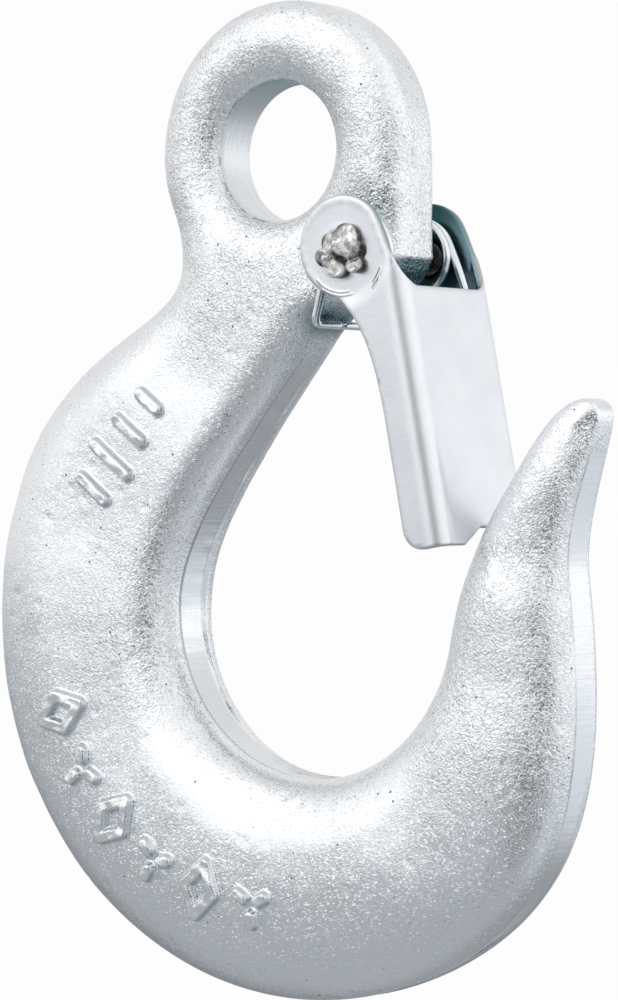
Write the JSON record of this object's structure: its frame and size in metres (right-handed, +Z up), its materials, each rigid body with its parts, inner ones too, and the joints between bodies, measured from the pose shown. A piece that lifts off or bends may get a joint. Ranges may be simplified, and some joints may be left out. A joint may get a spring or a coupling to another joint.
{
  "type": "eye slip hook with latch",
  "caption": "Forged lifting hook hung from a closed eye, with a sheet metal safety latch that springs shut across its throat.",
  "frame": {"origin": "centre of the eye's hole, from which the hook hangs", "axes": "+Z up the hook's length from bowl to eye, +X towards the hook's tip, +Y across its thickness, away from the crushed rivet head"},
  "size_m": [0.0776, 0.0198, 0.1073],
  "materials": {
    "zinc_forging": "zinc plated over a grainy forged surface",
    "zinc_sheet": "satin zinc plated sheet",
    "spring_wire": "bright plated spring wire",
    "rivet_steel": "bare steel, hammered over"
  },
  "bodies": {
    "hook": {"hook_body": "zinc_forging", "latch_rivet": "rivet_steel", "latch_spring": "spring_wire"},
    "latch": {"latch": "zinc_sheet"}
  },
  "joints": [
    {"name": "latch_hinge", "type": "hinge", "parent": "hook", "child": "latch", "pos_m": [0.0124, 0, -0.0115], "axis": [0, 1, 0], "range_deg": [0, 50], "stiffness_Nm_per_rad": 0.08, "springref_deg": -51.57, "deforming": ["latch_spring"]}
  ]
}
